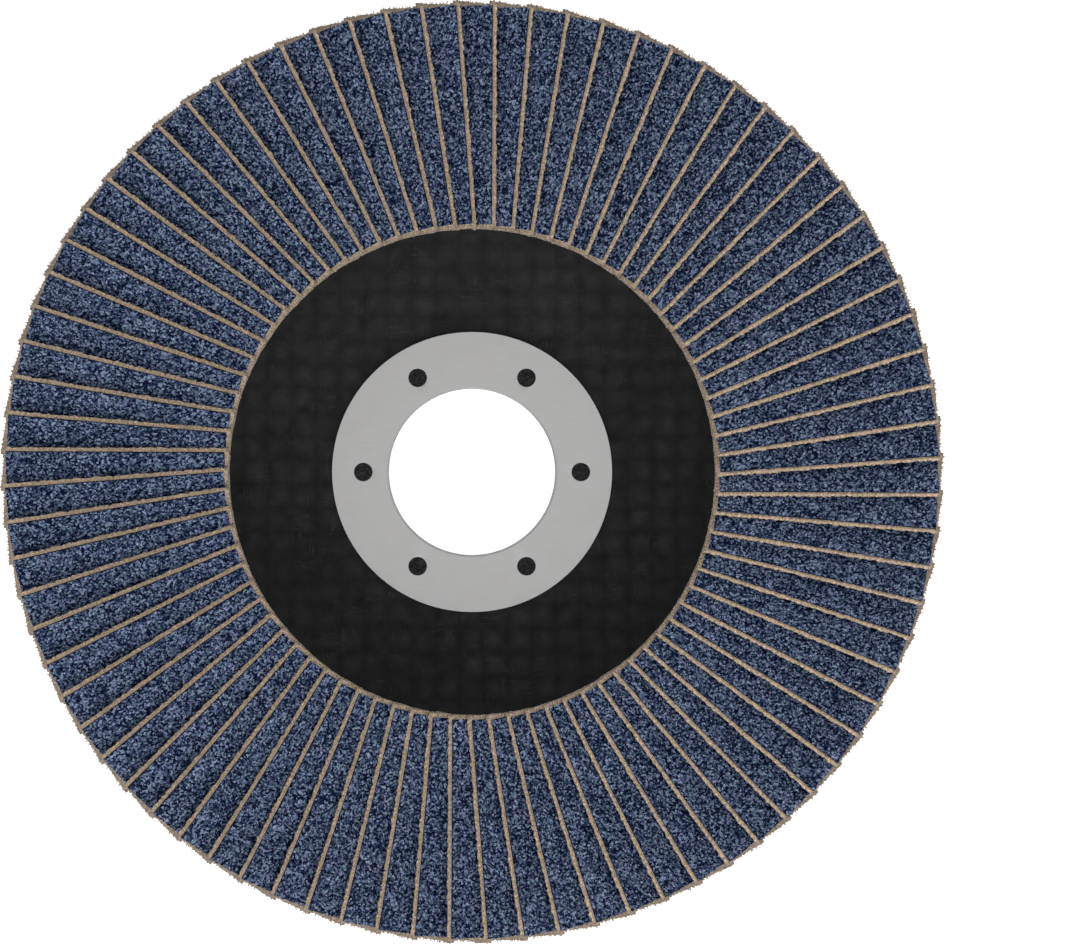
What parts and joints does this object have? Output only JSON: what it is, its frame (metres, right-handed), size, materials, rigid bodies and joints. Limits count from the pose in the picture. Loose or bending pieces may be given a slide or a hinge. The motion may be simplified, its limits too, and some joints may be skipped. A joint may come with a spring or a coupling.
{
  "type": "flap disc",
  "caption": "Shingled abrasive flap disc for an angle grinder: flaps bonded round a dished backing plate with a steel centre ring.",
  "frame": {"origin": "middle of the bore on the rear face of the hub, the plane that the disc rests on", "axes": "+Z along the disc's axis, out of the abrasive face; the ring's small holes lie on +X and every 60 degrees from it"},
  "size_m": [0.1248, 0.1248, 0.0164],
  "materials": {
    "backing_laminate": "pressed glass cloth and resin, satin black",
    "ring_steel": "pressed bright steel, fine satin",
    "cured_adhesive": "cured adhesive, dark, slightly glossy",
    "abrasive_cloth": "blue resin-bonded grain on tan cloth"
  },
  "bodies": {
    "root": {"backing_plate": "backing_laminate", "centre_ring": "ring_steel", "adhesive_bed": "cured_adhesive", "flap_pair_01": "abrasive_cloth", "flap_pair_02": "abrasive_cloth", "flap_pair_03": "abrasive_cloth", "flap_pair_04": "abrasive_cloth", "flap_pair_05": "abrasive_cloth", "flap_pair_06": "abrasive_cloth", "flap_pair_07": "abrasive_cloth", "flap_pair_08": "abrasive_cloth", "flap_pair_09": "abrasive_cloth", "flap_pair_10": "abrasive_cloth", "flap_pair_11": "abrasive_cloth", "flap_pair_12": "abrasive_cloth", "flap_pair_13": "abrasive_cloth", "flap_pair_14": "abrasive_cloth", "flap_pair_15": "abrasive_cloth", "flap_pair_16": "abrasive_cloth", "flap_pair_17": "abrasive_cloth", "flap_pair_18": "abrasive_cloth", "flap_pair_19": "abrasive_cloth", "flap_pair_20": "abrasive_cloth", "flap_pair_21": "abrasive_cloth", "flap_pair_22": "abrasive_cloth", "flap_pair_23": "abrasive_cloth", "flap_pair_24": "abrasive_cloth", "flap_pair_25": "abrasive_cloth", "flap_pair_26": "abrasive_cloth", "flap_pair_27": "abrasive_cloth", "flap_pair_28": "abrasive_cloth", "flap_pair_29": "abrasive_cloth", "flap_pair_30": "abrasive_cloth", "flap_pair_31": "abrasive_cloth", "flap_pair_32": "abrasive_cloth", "flap_pair_33": "abrasive_cloth", "flap_pair_34": "abrasive_cloth", "flap_pair_35": "abrasive_cloth", "flap_pair_36": "abrasive_cloth", "flap_pair_37": "abrasive_cloth", "flap_pair_38": "abrasive_cloth", "flap_pair_39": "abrasive_cloth", "flap_pair_40": "abrasive_cloth"}
  },
  "joints": []
}
